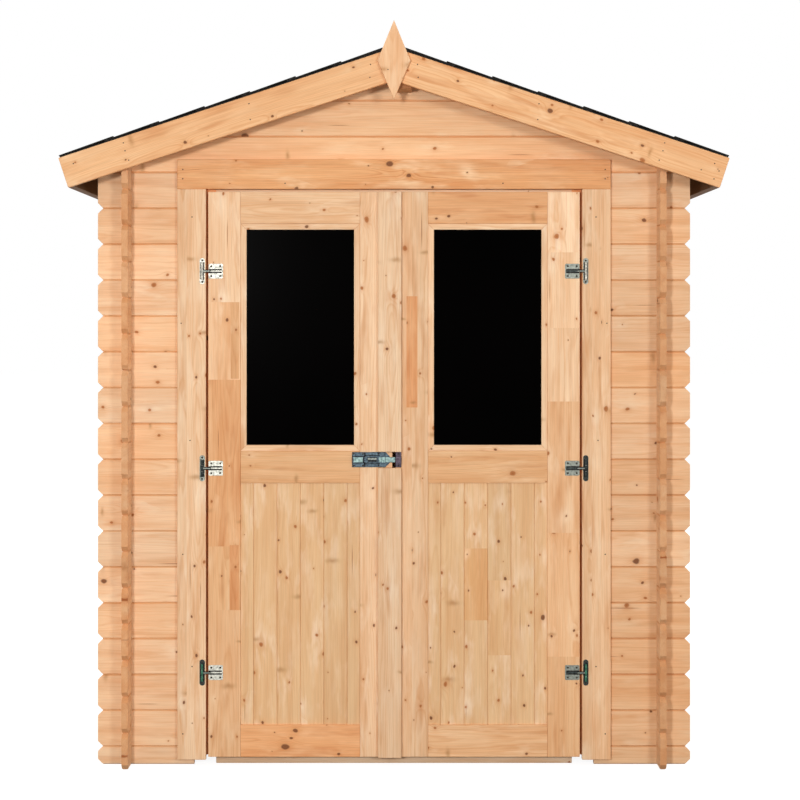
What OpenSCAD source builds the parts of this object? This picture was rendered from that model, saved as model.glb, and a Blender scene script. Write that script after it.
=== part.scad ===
// Garden shed of interlocking boards: crossed corners, gabled roof, double door with two panes.
// The front faces -Y, +X is to the right, +Z is up, and the origin is on the ground under the middle.

/* [Walls] */
// Length of the front and rear wall boards, end to end
wall_len = 1800; // [1600:10:2600]
// Length of the side wall boards, end to end
side_len = 1800; // [1200:10:3000]
// Thickness of the wall boards
wall_t = 19; // [15:1:28]
// Height that one wall board covers
board_h = 109; // [90:1:120]
// Number of whole board heights below the gable
board_rows = 16; // [15:1:18]
// Length of the board ends that stand out past the crossed corners
corner_out = 83; // [60:1:120]
// Bevel on the board ends
end_bevel = 16; // [8:1:20]
// Depth of the V joint between two boards
groove = 3; // [2:0.5:5]

/* [Roof] */
// Distance of the eaves beyond the ends of the wall boards
eave_out = 100; // [60:1:250]
// Slope of the roof in degrees
roof_slope = 18.2; // [16:0.1:21]
// Height of the outer edge of the side walls' top over the lowest joint of the gable
eave_rise = 77.6; // [60:0.1:120]
// Length of the roof boards in front of the wall
roof_out = 100; // [80:1:160]
// Thickness of the roof boards
deck_t = 16; // [12:1:20]
// Thickness of the felt shingles
felt_t = 8; // [4:1:10]
// Depth of the barge and eave boards
barge_h = 93; // [80:1:110]
// Thickness of the barge, eave and finial boards
barge_t = 18; // [15:1:22]
// Width of the ridge purlin
purlin_w = 58; // [40:1:70]
// Depth of the ridge purlin under the ridge
purlin_h = 104; // [90:1:125]
// Distance of the middle of the purlin to the right of the ridge
purlin_side = 24; // [0:1:28]
// Width of the diamond finial
finial_w = 98; // [80:1:120]
// Height of the diamond finial
finial_h = 236; // [180:1:260]
// Depth of the lower tip of the finial under the top of the ridge
finial_drop = 165; // [120:1:180]
// Height of the widest place of the finial over its lower tip
finial_mid = 116; // [90:1:130]

/* [Doorway] */
// Width of the doorway cut through the front wall
opening_w = 1214; // [1100:2:1300]
// Width that each post shows beside a door
post_stop = 28; // [20:1:40]
// Width of each post behind its trim board
post_back = 37; // [30:1:50]
// Depth of the posts behind the wall face
post_depth = 60; // [50:1:80]
// Width of the trim boards beside the doors
trim_w = 87; // [80:1:110]
// Thickness of the trim boards
trim_t = 19; // [15:1:22]
// Height of the trim board over the doors
header_h = 90; // [80:1:110]
// Depth of the lower edge of that trim board under the lowest joint of the gable
header_drop = 51.5; // [40:0.5:60]
// Height of the lower end of the side trim boards
trim_foot = 17; // [5:1:25]
// Height of the lower end of the posts
post_foot = 26; // [0:1:30]
// Height of the top of the sill
sill_top = 40; // [34:1:45]

/* [Doors] */
// Clearance between each door and its trim board
door_gap = 7; // [5:0.5:9]
// Gap between the two doors
middle_gap = 10; // [8:1:14]
// Thickness of the doors
door_t = 28; // [24:1:36]
// Height of the lower edge of the doors
door_z = 26; // [20:1:32]
// Clearance between the doors and the trim board over them
door_top_gap = 9; // [6:1:12]
// Width of the upright door boards
stile_w = 98; // [85:1:110]
// Height of the top rail
top_rail = 96; // [85:1:110]
// Height of the middle rail
mid_rail = 97; // [85:1:110]
// Height of the bottom rail
bottom_rail = 97; // [85:1:110]
// Height of the lower edge of the middle rail
mid_rail_z = 856; // [800:1:900]
// Width that one panel board covers
panel_pitch = 71; // [60:1:90]
// Depth of the panel boards behind the face of the door
panel_in = 7; // [5:1:9]
// Thickness of the panel boards
panel_t = 14; // [12:1:15]
// Width of the beads round each pane
bead_w = 18; // [12:1:22]
// Thickness of the panes
pane_t = 4; // [3:1:5]
// Width of the strip that covers the gap between the doors
strip_w = 71; // [60:1:80]
// Thickness of that strip
strip_t = 16; // [12:1:20]
// Width of the strip on the right of the middle
strip_over = 22.5; // [20:0.5:26]
// Clearance between the back of the strip and the right door
strip_gap = 5; // [4:0.5:6]

/* [Hinges] */
// Heights of the middles of the hinges
hinge_z = [282, 901, 1498];
// Height of the hinge plate on the trim board
hinge_plate_h = 79; // [70:1:90]
// Width of that plate
hinge_plate_w = 16; // [14:1:20]
// Thickness of the hinge metal
hinge_t = 1.5; // [1:0.1:2]
// Length of the knuckles together
knuckle_h = 52; // [45:1:60]
// Radius of the knuckles
knuckle_r = 4; // [3.5:0.1:5]
// Radius of the hinge pin
pin_r = 2; // [1.5:0.1:2.5]
// Distance of the hinge pin beyond the edge of the door
pin_out = 18; // [16:1:20]
// Side of the square hinge plate on the door
strap_w = 45; // [38:1:50]
// Height of the neck between the knuckle and that plate
neck_h = 6; // [4:0.5:10]
// Height of the rib across that plate
rib_h = 12; // [8:1:14]

/* [Latch] */
// Height of the middle of the latch
latch_z = 927; // [910:1:940]
// Height of the latch plate
latch_h = 46; // [40:1:50]
// Place of the left end of the latch plate
latch_left = -127; // [-140:1:-115]
// Place of the right end of the latch plate
latch_right = -12; // [-14:1:-10]
// Height of the flat bolt
bolt_h = 15.5; // [12:0.5:18]
// Thickness of the flat bolt
bolt_t = 4; // [3:0.5:5]
// Travel of the bolt from rest into the keeper
bolt_in = 16; // [12:1:17]

/* [Hidden] */
$fn = 48;
pine = "#f0c49a";
pine_dark = "#dcaa78";
felt = "#17161a";
steel = "#b9bcbe";
glass = "#050404";

// Half lengths of the wall boards, and how far the outer wall faces are from the middle
half = wall_len / 2;
side_half = side_len / 2;
side_face = half - corner_out;
face = side_half - corner_out;
eps = 1;

// Heights of the wall: the front starts with half a board and the sides with a whole one
front_first = board_h / 2;
gable_z = board_rows * board_h + front_first;
header_z = gable_z - header_drop;

// The roof's top line falls by this much a millimetre
fall = tan(roof_slope);
roof_half = half + eave_out;
roof_clear = 0.2;
deck_drop = (felt_t + deck_t) / cos(roof_slope);
felt_drop = felt_t / cos(roof_slope);
barge_drop = barge_h / cos(roof_slope);
ridge_z = gable_z + eave_rise + side_face * fall + deck_drop;
roof_front = face + roof_out;
barge_front = roof_front + barge_t;
mitre_gap = 1;

// Planes of the front, as distances in front of the middle of the shed
trim_face = face + trim_t;
door_back = trim_face - door_t;
stop_clear = 5;
stop_face = door_back - stop_clear;

// The doors
opening_half = opening_w / 2;
trim_edge = opening_half - post_back;
post_edge = trim_edge - post_stop;
door_edge = trim_edge - door_gap;
door_inner = middle_gap / 2;
door_w = door_edge - door_inner;
door_top = header_z - door_top_gap;
light_w = door_w - 2 * stile_w;
light_left = door_inner + stile_w;
pane_z = mid_rail_z + mid_rail;
pane_h = door_top - top_rail - pane_z;
panel_z = door_z + bottom_rail;
panel_h = mid_rail_z - panel_z;
groove_in = 8;

// The hinges
pin_x = door_edge + pin_out;
pin_y = trim_face + hinge_t + 0.5 + knuckle_r;
knuckle_gap = 0.5;
pin_clear = 0.3;
knuckle_third = knuckle_h / 3;
crank_w = 8;

// The latch
plate_t = 2;
bolt_clear = 0.5;
bolt_y = trim_face + plate_t + bolt_clear;
bolt_wrap = bolt_y + bolt_t + bolt_clear;
guide_t = 2;
strip_clear = 1;
tongue_gap = 1;
tongue_end = door_inner - tongue_gap;
keeper_w = bolt_in + 1.5;
guide_h = bolt_h + 2 * bolt_clear + 2 * guide_t;
left_guide_w = 36;
right_guide_w = 12;
knob_w = 8;
knob_out = 9;
knob_h = 6;
plate_corner = 14;

// Height of the roof line at a distance x from the middle, less a drop
function roof_line(x, drop) = ridge_z - abs(x) * fall - drop;

// Points up one bevelled end of a stack of boards at x, facing side s, from z0 to z1, joints at first + n * board_h
function end_up(x, s, first, z0, z1) = [
    for (n = [0 : ceil((z1 - first) / board_h)])
        let (joint = first + n * board_h)
            for (d = [-end_bevel, 0, end_bevel])
                let (z = joint + d)
                    if (z > z0 && z < z1)
                        [x - s * (end_bevel - abs(d)), z]
];

// Places of an end exactly at z, on the bevels
function end_at(x, s, first, z) =
    let (off = (z - first) - board_h * round((z - first) / board_h))
        [x - s * max(0, end_bevel - abs(off)), z];

function reversed(v) = [for (i = [len(v) - 1 : -1 : 0]) v[i]];

// A flat stack of boards from x0 to x1 and z0 to z1, as an outline with bevelled or plain ends
module stack_outline(x0, x1, bevel0, bevel1, first, z0, z1) {
    right = bevel1
        ? concat([end_at(x1, 1, first, z0)], end_up(x1, 1, first, z0, z1), [end_at(x1, 1, first, z1)])
        : [[x1, z0], [x1, z1]];
    left = bevel0
        ? concat([end_at(x0, -1, first, z0)], end_up(x0, -1, first, z0, z1), [end_at(x0, -1, first, z1)])
        : [[x0, z0], [x0, z1]];
    polygon(concat(right, reversed(left)));
}

// A V groove along X at height z, cut into the face at y
module v_groove(x0, x1, y, z) {
    translate([x0, y, z])
        rotate([45, 0, 0])
            translate([0, -groove / sqrt(2), -groove / sqrt(2)])
                cube([x1 - x0, groove * sqrt(2), groove * sqrt(2)]);
}

// The places that the crossing boards pass through, at each end of a wall whose boards reach end_x
module crossing_cuts(end_x, first, z1) {
    for (n = [-1 : ceil((z1 - first) / board_h)], s = [-1, 1])
        translate([s * (end_x - corner_out - wall_t / 2) - wall_t / 2, -eps, first + (n - 0.25) * board_h])
            cube([wall_t, wall_t + 2 * eps, board_h / 2]);
}

// A wall of boards in the plane of the front: its outer face is at y = 0 and its inner one at wall_t
module log_wall(x0, x1, bevel0, bevel1, first, z0, z1) {
    difference() {
        translate([0, wall_t, 0])
            rotate([90, 0, 0])
                linear_extrude(wall_t)
                    stack_outline(x0, x1, bevel0, bevel1, first, z0, z1);
        for (n = [0 : ceil((z1 - first) / board_h)], y = [0, wall_t]) {
            z = first + n * board_h;
            if (z >= z0 && z <= z1)
                v_groove(x0 - eps, x1 + eps, y, z);
        }
        crossing_cuts(max(abs(x0), abs(x1)), first, z1);
    }
}

// Everything above the underside of the roof boards, and a little clearance under it
module above_roof(length) {
    low = 2 * half;
    drop = deck_drop + roof_clear;
    translate([0, length / 2, 0])
        rotate([90, 0, 0])
            linear_extrude(length)
                polygon([
                    [0, roof_line(0, drop)],
                    [low, roof_line(low, drop)],
                    [low, 2 * ridge_z],
                    [-low, 2 * ridge_z],
                    [-low, roof_line(low, drop)]
                ]);
}

module front_wall_half(s) {
    x0 = s < 0 ? -half : opening_half;
    x1 = s < 0 ? -opening_half : half;
    translate([0, -face, 0])
        log_wall(x0, x1, s < 0, s > 0, front_first, 0, gable_z);
}

module front_wall_left() {
    color(pine) front_wall_half(-1);
}

module front_wall_right() {
    color(pine) front_wall_half(1);
}

module purlin_space() {
    translate([purlin_side - purlin_w / 2, -side_len, roof_line(0, deck_drop) - purlin_h])
        cube([purlin_w, 2 * side_len, 2 * purlin_h]);
}

module gable() {
    difference() {
        translate([0, -face, 0])
            log_wall(-half, half, true, true, front_first, gable_z, ridge_z);
        above_roof(2 * side_len);
        purlin_space();
    }
}

module front_gable() {
    color(pine) gable();
}

module rear_wall() {
    color(pine)
        mirror([0, 1, 0])
            translate([0, -face, 0])
                log_wall(-half, half, true, true, front_first, 0, gable_z);
}

module rear_gable() {
    color(pine) mirror([0, 1, 0]) gable();
}

module side_wall(s) {
    difference() {
        rotate([0, 0, s * 90])
            translate([0, -side_face, 0])
                log_wall(-side_half, side_half, true, true, board_h, 0, ridge_z);
        above_roof(2 * side_len);
        // The foot has the same small groove as the joints
        rotate([0, 0, s * 90])
            translate([0, -side_face, 0])
                for (y = [0, wall_t])
                    v_groove(-side_half - eps, side_half + eps, y, 0);
    }
}

module side_wall_left() {
    color(pine) side_wall(-1);
}

module side_wall_right() {
    color(pine) side_wall(1);
}

// A post is rebated: it fills the wall's thickness behind its trim board and stops the door
module door_post(s) {
    depth_y = post_depth;
    mirror([s < 0 ? 1 : 0, 0, 0]) {
        translate([trim_edge, -face, post_foot])
            cube([post_back, depth_y, gable_z - post_foot]);
        translate([post_edge, -stop_face, post_foot])
            cube([post_stop, depth_y - (face - stop_face), gable_z - post_foot]);
    }
}

module door_post_left() {
    color(pine) door_post(-1);
}

module door_post_right() {
    color(pine) door_post(1);
}

// The head is rebated as the posts are: it stops the doors, and its front part is behind the trim board
module door_head() {
    head_z = header_z - post_stop + door_top_gap;
    color(pine_dark) {
        translate([-post_edge, -stop_face, head_z])
            cube([2 * post_edge, post_depth - (face - stop_face), gable_z - head_z]);
        translate([-trim_edge, -face, header_z])
            cube([2 * trim_edge, face - stop_face, gable_z - header_z]);
    }
}

module door_sill() {
    color(pine_dark)
        translate([-post_edge, -stop_face, 0])
            cube([2 * post_edge, post_depth - (face - stop_face), sill_top]);
}

module header_trim() {
    width = trim_edge + trim_w;
    color(pine_dark)
        translate([-width, -trim_face, header_z])
            cube([2 * width, trim_t, header_h]);
}

module jamb_trim(s) {
    mirror([s < 0 ? 1 : 0, 0, 0])
        translate([trim_edge, -trim_face, trim_foot])
            cube([trim_w, trim_t, header_z - trim_foot]);
}

module jamb_trim_left() {
    color(pine) jamb_trim(-1);
}

module jamb_trim_right() {
    color(pine) jamb_trim(1);
}

module ridge_purlin() {
    top = roof_line(0, deck_drop);
    x0 = purlin_side - purlin_w / 2;
    x1 = purlin_side + purlin_w / 2;
    color(pine_dark)
        translate([0, roof_front, 0])
            rotate([90, 0, 0])
                linear_extrude(2 * roof_front)
                    polygon([
                        [x0, top - purlin_h],
                        [x1, top - purlin_h],
                        [x1, roof_line(x1, deck_drop)],
                        [0, top],
                        [x0, roof_line(x0, deck_drop)]
                    ]);
}

// One side of a layer of the roof: between two drops below its top line, from the ridge to the eave,
// where its upper edge ends at end0 and its lower one at end1
module roof_layer(s, drop0, drop1, end0, end1, y) {
    mirror([s < 0 ? 1 : 0, 0, 0])
        translate([0, y, 0])
            rotate([90, 0, 0])
                linear_extrude(2 * y)
                    polygon([
                        [0, roof_line(0, drop0)],
                        [end0, roof_line(end0, drop0)],
                        [end1, roof_line(end1, drop1)],
                        [0, roof_line(0, drop1)]
                    ]);
}

// The roof boards end square to the slope at the eave board
module roof_boards_left() {
    run = deck_t * sin(roof_slope);
    end = roof_half - (barge_t + roof_clear) * cos(roof_slope);
    color(pine_dark) roof_layer(-1, felt_drop, deck_drop, end, end - run, roof_front);
}

module roof_boards_right() {
    run = deck_t * sin(roof_slope);
    end = roof_half - (barge_t + roof_clear) * cos(roof_slope);
    color(pine_dark) roof_layer(1, felt_drop, deck_drop, end, end - run, roof_front);
}

module felt_left() {
    color(felt) roof_layer(-1, 0, felt_drop, roof_half, roof_half, barge_front);
}

module felt_right() {
    color(felt) roof_layer(1, 0, felt_drop, roof_half, roof_half, barge_front);
}

// The eave boards are square to the slope, behind the ends of the barge boards
module eave_board(s) {
    x1 = roof_half;
    z1 = roof_line(x1, felt_drop + roof_clear);
    x0 = x1 - barge_t * cos(roof_slope);
    z0 = z1 + barge_t * sin(roof_slope);
    run = barge_h * sin(roof_slope);
    drop = barge_h * cos(roof_slope);
    mirror([s < 0 ? 1 : 0, 0, 0])
        translate([0, roof_front, 0])
            rotate([90, 0, 0])
                linear_extrude(2 * roof_front)
                    polygon([
                        [x0, z0],
                        [x1, z1],
                        [x1 - run, z1 - drop],
                        [x0 - run, z0 - drop]
                    ]);
}

module eave_board_left() {
    color(pine) eave_board(-1);
}

module eave_board_right() {
    color(pine) eave_board(1);
}

// The two boards meet behind the finial with a narrow open mitre
module barge_boards() {
    end_run = barge_h * sin(roof_slope);
    x0 = mitre_gap / 2;
    x1 = roof_half;
    for (s = [-1, 1])
        mirror([s < 0 ? 1 : 0, 0, 0])
            translate([0, -roof_front, 0])
                rotate([90, 0, 0])
                    linear_extrude(barge_t)
                        polygon([
                            [x0, roof_line(x0, felt_drop)],
                            [x1, roof_line(x1, felt_drop)],
                            [x1 - end_run, roof_line(x1 - end_run, felt_drop + barge_drop)],
                            [x0, roof_line(x0, felt_drop + barge_drop)]
                        ]);
}

module barge_boards_front() {
    color(pine) barge_boards();
}

module barge_boards_rear() {
    color(pine) mirror([0, 1, 0]) barge_boards();
}

module finial() {
    translate([0, -barge_front, ridge_z - finial_drop])
        rotate([90, 0, 0])
            linear_extrude(barge_t)
                polygon([
                    [0, 0],
                    [finial_w / 2, finial_mid],
                    [0, finial_h],
                    [-finial_w / 2, finial_mid]
                ]);
}

module finial_front() {
    color(pine) finial();
}

module finial_rear() {
    color(pine) mirror([0, 1, 0]) finial();
}

// The fixed half of the hinges: a plate on the trim board, two knuckles and the pin
module hinge_plates(s) {
    for (z = hinge_z)
        translate([s * pin_x, 0, z]) {
            translate([-hinge_plate_w / 2, -trim_face - hinge_t, -hinge_plate_h / 2])
                cube([hinge_plate_w, hinge_t, hinge_plate_h]);
            translate([0, -pin_y, -knuckle_h / 2])
                cylinder(h = knuckle_h, r = pin_r);
            for (end = [-1, 1]) {
                z0 = end < 0 ? -knuckle_h / 2 : knuckle_h / 2 - knuckle_third + knuckle_gap;
                translate([0, -pin_y, z0])
                    cylinder(h = knuckle_third - knuckle_gap, r = knuckle_r);
                translate([-knuckle_r, -pin_y, z0])
                    cube([2 * knuckle_r, pin_y - trim_face, knuckle_third - knuckle_gap]);
            }
        }
}

module hinge_plates_left() {
    color(steel) hinge_plates(-1);
}

module hinge_plates_right() {
    color(steel) hinge_plates(1);
}

// The moving half: the middle knuckle, a cranked neck across the gap and a ribbed square plate on the door
module hinge_straps(s) {
    middle_h = knuckle_third - knuckle_gap;
    neck_back = pin_y - hinge_t;
    neck_t = 2 * hinge_t;
    for (z = hinge_z)
        mirror([s < 0 ? 1 : 0, 0, 0])
            translate([pin_x, 0, z])
                difference() {
                    union() {
                        translate([0, -pin_y, -middle_h / 2])
                            cylinder(h = middle_h, r = knuckle_r);
                        translate([-pin_out - crank_w, -neck_back - neck_t, -neck_h / 2])
                            cube([pin_out + crank_w, neck_t, neck_h]);
                        translate([-pin_out - crank_w, -neck_back - neck_t, -neck_h / 2])
                            cube([crank_w, neck_back + neck_t - trim_face, neck_h]);
                        translate([-pin_out - strap_w, -trim_face - neck_t, -rib_h / 2])
                            cube([strap_w - 1, neck_t, rib_h]);
                        translate([-pin_out - strap_w, -trim_face - hinge_t, -strap_w / 2])
                            cube([strap_w - 1, hinge_t, strap_w]);
                    }
                    translate([0, -pin_y, -knuckle_h])
                        cylinder(h = 2 * knuckle_h, r = pin_r + pin_clear);
                }
}

module left_door_straps() {
    color(steel) hinge_straps(-1);
}

module right_door_straps() {
    color(steel) hinge_straps(1);
}

// The grooves in the door's boards that hold the panel and the pane
module panel_groove() {
    translate([light_left - groove_in, -trim_face + panel_in, panel_z - groove_in])
        cube([light_w + 2 * groove_in, panel_t, panel_h + 2 * groove_in]);
}

module door_stiles(s) {
    mirror([s < 0 ? 1 : 0, 0, 0])
        difference() {
            for (x = [door_inner, door_edge - stile_w])
                translate([x, -trim_face, door_z])
                    cube([stile_w, door_t, door_top - door_z]);
            panel_groove();
        }
}

module door_rails(s) {
    rows = [
        [door_z, bottom_rail],
        [mid_rail_z, mid_rail],
        [door_top - top_rail, top_rail]
    ];
    mirror([s < 0 ? 1 : 0, 0, 0])
        difference() {
            for (row = rows)
                translate([light_left, -trim_face, row[0]])
                    cube([light_w, door_t, row[1]]);
            panel_groove();
        }
}

// The panel is a row of upright boards with V joints, the middle one in the middle of the door
module door_panel(s) {
    x0 = light_left - groove_in;
    width = light_w + 2 * groove_in;
    side_joints = floor(light_w / 2 / panel_pitch - 0.25);
    mirror([s < 0 ? 1 : 0, 0, 0])
        difference() {
            translate([x0, -trim_face + panel_in, panel_z - groove_in])
                cube([width, panel_t, panel_h + 2 * groove_in]);
            for (n = [-side_joints : side_joints], y = [0, panel_t])
                translate([light_left + light_w / 2 + n * panel_pitch, -trim_face + panel_in + y, 0])
                    rotate([0, 0, 45])
                        translate([-groove / sqrt(2), -groove / sqrt(2), -eps])
                            cube([groove * sqrt(2), groove * sqrt(2), door_top]);
        }
}

// The pane stands in the middle of the door's thickness, held by beads on both sides
module door_pane(s) {
    mirror([s < 0 ? 1 : 0, 0, 0])
        translate([light_left, -trim_face + (door_t - pane_t) / 2, pane_z])
            cube([light_w, pane_t, pane_h]);
}

module door_beads(s) {
    bead_t = (door_t - pane_t) / 2 - 3;
    mirror([s < 0 ? 1 : 0, 0, 0])
        for (y = [-trim_face + 3, -trim_face + (door_t + pane_t) / 2])
            translate([light_left, y, pane_z])
                difference() {
                    cube([light_w, bead_t, pane_h]);
                    translate([bead_w, -eps, bead_w])
                        cube([light_w - 2 * bead_w, bead_t + 2 * eps, pane_h - 2 * bead_w]);
                }
}

module left_door_stiles() {
    color(pine) door_stiles(-1);
}

module left_door_rails() {
    color(pine_dark) door_rails(-1);
}

module left_door_panel() {
    color(pine) door_panel(-1);
}

module left_door_pane() {
    color(glass) door_pane(-1);
}

module left_door_beads() {
    color(pine_dark) door_beads(-1);
}

module right_door_stiles() {
    color(pine) door_stiles(1);
}

module right_door_rails() {
    color(pine_dark) door_rails(1);
}

module right_door_panel() {
    color(pine) door_panel(1);
}

module right_door_pane() {
    color(glass) door_pane(1);
}

module right_door_beads() {
    color(pine_dark) door_beads(1);
}

// The cover strip is in two lengths, over and under the latch, and is relieved behind the right door's edge
module cover_strip() {
    latch_low = latch_z - latch_h / 2 - strip_clear;
    latch_high = latch_z + latch_h / 2 + strip_clear;
    rows = [[door_z, latch_low], [latch_high, door_top]];
    color(pine)
        for (row = rows)
            difference() {
                translate([strip_over - strip_w, -trim_face - strip_t, row[0]])
                    cube([strip_w, strip_t, row[1] - row[0]]);
                translate([-door_inner, -trim_face - strip_gap, row[0] - eps])
                    cube([strip_w, strip_gap + eps, row[1] - row[0] + 2 * eps]);
            }
}

// The way of the flat bolt, from x0 to x1
module bolt_way(x0, x1) {
    translate([x0, -bolt_wrap, latch_z - bolt_h / 2 - bolt_clear])
        cube([x1 - x0, bolt_wrap - trim_face - plate_t, bolt_h + 2 * bolt_clear]);
}

// A guide over the bolt, from x0 to x1, standing on the plate
module bolt_guide(x0, x1) {
    translate([x0, -bolt_wrap - guide_t, latch_z - guide_h / 2])
        cube([x1 - x0, bolt_wrap + guide_t - trim_face, guide_h]);
}

// The latch plate has two guides for the bolt, and its right corners are cut off
module latch_plate() {
    right_guide = latch_right - plate_corner - right_guide_w;
    color(steel)
        difference() {
            union() {
                translate([0, -trim_face, latch_z])
                    rotate([90, 0, 0])
                        linear_extrude(plate_t)
                            polygon([
                                [latch_left, -latch_h / 2],
                                [latch_right - plate_corner, -latch_h / 2],
                                [latch_right, -latch_h / 2 + plate_corner],
                                [latch_right, latch_h / 2 - plate_corner],
                                [latch_right - plate_corner, latch_h / 2],
                                [latch_left, latch_h / 2]
                            ]);
                bolt_guide(latch_left, latch_left + left_guide_w);
                bolt_guide(right_guide, right_guide + right_guide_w);
            }
            bolt_way(latch_left - eps, latch_right + eps);
        }
}

module latch_bolt() {
    bolt_left = latch_left + guide_t;
    knob_x = latch_left + left_guide_w + bolt_clear;
    color(steel) {
        translate([bolt_left, -bolt_y - bolt_t, latch_z - bolt_h / 2])
            cube([tongue_end - bolt_left, bolt_t, bolt_h]);
        translate([knob_x, -bolt_y - bolt_t - knob_out, latch_z - knob_h / 2])
            cube([knob_w, knob_out + eps, knob_h]);
    }
}

// The keeper is a staple on the edge of the right door that the bolt slides into
module latch_keeper() {
    right = door_inner + keeper_w;
    color(steel)
        difference() {
            union() {
                translate([door_inner, -trim_face - plate_t, latch_z - latch_h / 2])
                    cube([keeper_w, plate_t, latch_h]);
                bolt_guide(door_inner, right);
            }
            bolt_way(door_inner - eps, right + eps);
        }
}

front_wall_left();
front_wall_right();
front_gable();
rear_wall();
rear_gable();
side_wall_left();
side_wall_right();
door_post_left();
door_post_right();
door_head();
door_sill();
header_trim();
jamb_trim_left();
jamb_trim_right();
ridge_purlin();
roof_boards_left();
roof_boards_right();
felt_left();
felt_right();
eave_board_left();
eave_board_right();
barge_boards_front();
barge_boards_rear();
finial_front();
finial_rear();
hinge_plates_left();
hinge_plates_right();
left_door_stiles();
left_door_rails();
left_door_panel();
left_door_pane();
left_door_beads();
left_door_straps();
cover_strip();
latch_plate();
latch_bolt();
right_door_stiles();
right_door_rails();
right_door_panel();
right_door_pane();
right_door_beads();
right_door_straps();
latch_keeper();
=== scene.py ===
# A small garden shed of interlocking spruce boards with a double door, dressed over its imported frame.
import bpy
import bmesh
import math
import random
from mathutils import Matrix, Vector


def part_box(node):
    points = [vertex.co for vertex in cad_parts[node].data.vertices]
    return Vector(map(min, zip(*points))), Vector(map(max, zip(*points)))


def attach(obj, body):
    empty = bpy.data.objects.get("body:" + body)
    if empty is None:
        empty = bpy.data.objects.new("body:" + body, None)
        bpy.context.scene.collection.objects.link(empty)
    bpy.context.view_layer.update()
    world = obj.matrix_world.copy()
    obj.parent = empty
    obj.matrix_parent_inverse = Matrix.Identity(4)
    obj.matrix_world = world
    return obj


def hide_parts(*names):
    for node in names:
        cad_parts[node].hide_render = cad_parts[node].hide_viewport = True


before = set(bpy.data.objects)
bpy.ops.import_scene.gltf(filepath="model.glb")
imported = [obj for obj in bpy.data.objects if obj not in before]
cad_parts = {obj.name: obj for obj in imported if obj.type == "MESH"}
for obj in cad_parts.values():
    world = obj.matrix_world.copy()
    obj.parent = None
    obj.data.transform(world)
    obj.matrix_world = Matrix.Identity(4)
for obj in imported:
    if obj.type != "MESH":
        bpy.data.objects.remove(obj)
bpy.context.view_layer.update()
scene = bpy.context.scene
mm = 0.001
X, Y, Z = Vector((1, 0, 0)), Vector((0, 1, 0)), Vector((0, 0, 1))

# Sizes that several pieces share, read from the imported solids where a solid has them
wall_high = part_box("rear_wall")[1]
half, gable_z = wall_high.x, wall_high.z
face = -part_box("front_wall_left")[0].y
side_face = -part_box("side_wall_left")[0].x
wall_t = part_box("front_wall_left")[1].y + face
board_h = 109 * mm
groove, end_cut = 3 * mm, 16 * mm
ridge_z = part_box("felt_left")[1].z
roof_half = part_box("felt_right")[1].x
slope = math.radians(18.2)
fall = math.tan(slope)
roof_front = -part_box("roof_boards_left")[0].y
felt_front = -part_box("felt_left")[0].y
felt_t, deck_t = 8 * mm, 16 * mm
felt_drop = felt_t / math.cos(slope)
deck_drop = (felt_t + deck_t) / math.cos(slope)
trim_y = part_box("jamb_trim_left")[0].y
sides = ((-1, "left"), (1, "right"))


def linear(code):
    """The linear colour of an sRGB hex value."""
    parts = [int(code[n:n + 2], 16) / 255 for n in (1, 3, 5)]
    return tuple(c / 12.92 if c <= 0.04045 else ((c + 0.055) / 1.055) ** 2.4 for c in parts) + (1,)


def add(tree, kind, inputs={}, stops=(), **settings):
    """Adds a shader node. An input's value is a node or a socket to link, or a plain setting; a colour ramp
    also takes its (place, hex) stops."""
    made = tree.nodes.new("ShaderNode" + kind)
    for name, value in settings.items():
        setattr(made, name, value)
    for name, value in inputs.items():
        if isinstance(value, bpy.types.Node):
            value = next(socket for socket in value.outputs if socket.enabled)
        if isinstance(value, bpy.types.NodeSocket):
            tree.links.new(value, made.inputs[name])
        else:
            made.inputs[name].default_value = value
    if stops:
        points = made.color_ramp.elements
        while len(points) < len(stops):
            points.new(1)
        for point, (place, code) in zip(points, stops):
            point.position = place
            point.color = linear(code)
    return made


def new_finish(name):
    """A new material and its empty tree."""
    material = bpy.data.materials.new(name)
    material.use_nodes = True
    material.node_tree.nodes.clear()
    return material, material.node_tree


def close_finish(tree, inputs):
    """Adds the shader that a finish ends in."""
    add(tree, "OutputMaterial", {"Surface": add(tree, "BsdfPrincipled", inputs)})


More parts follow.
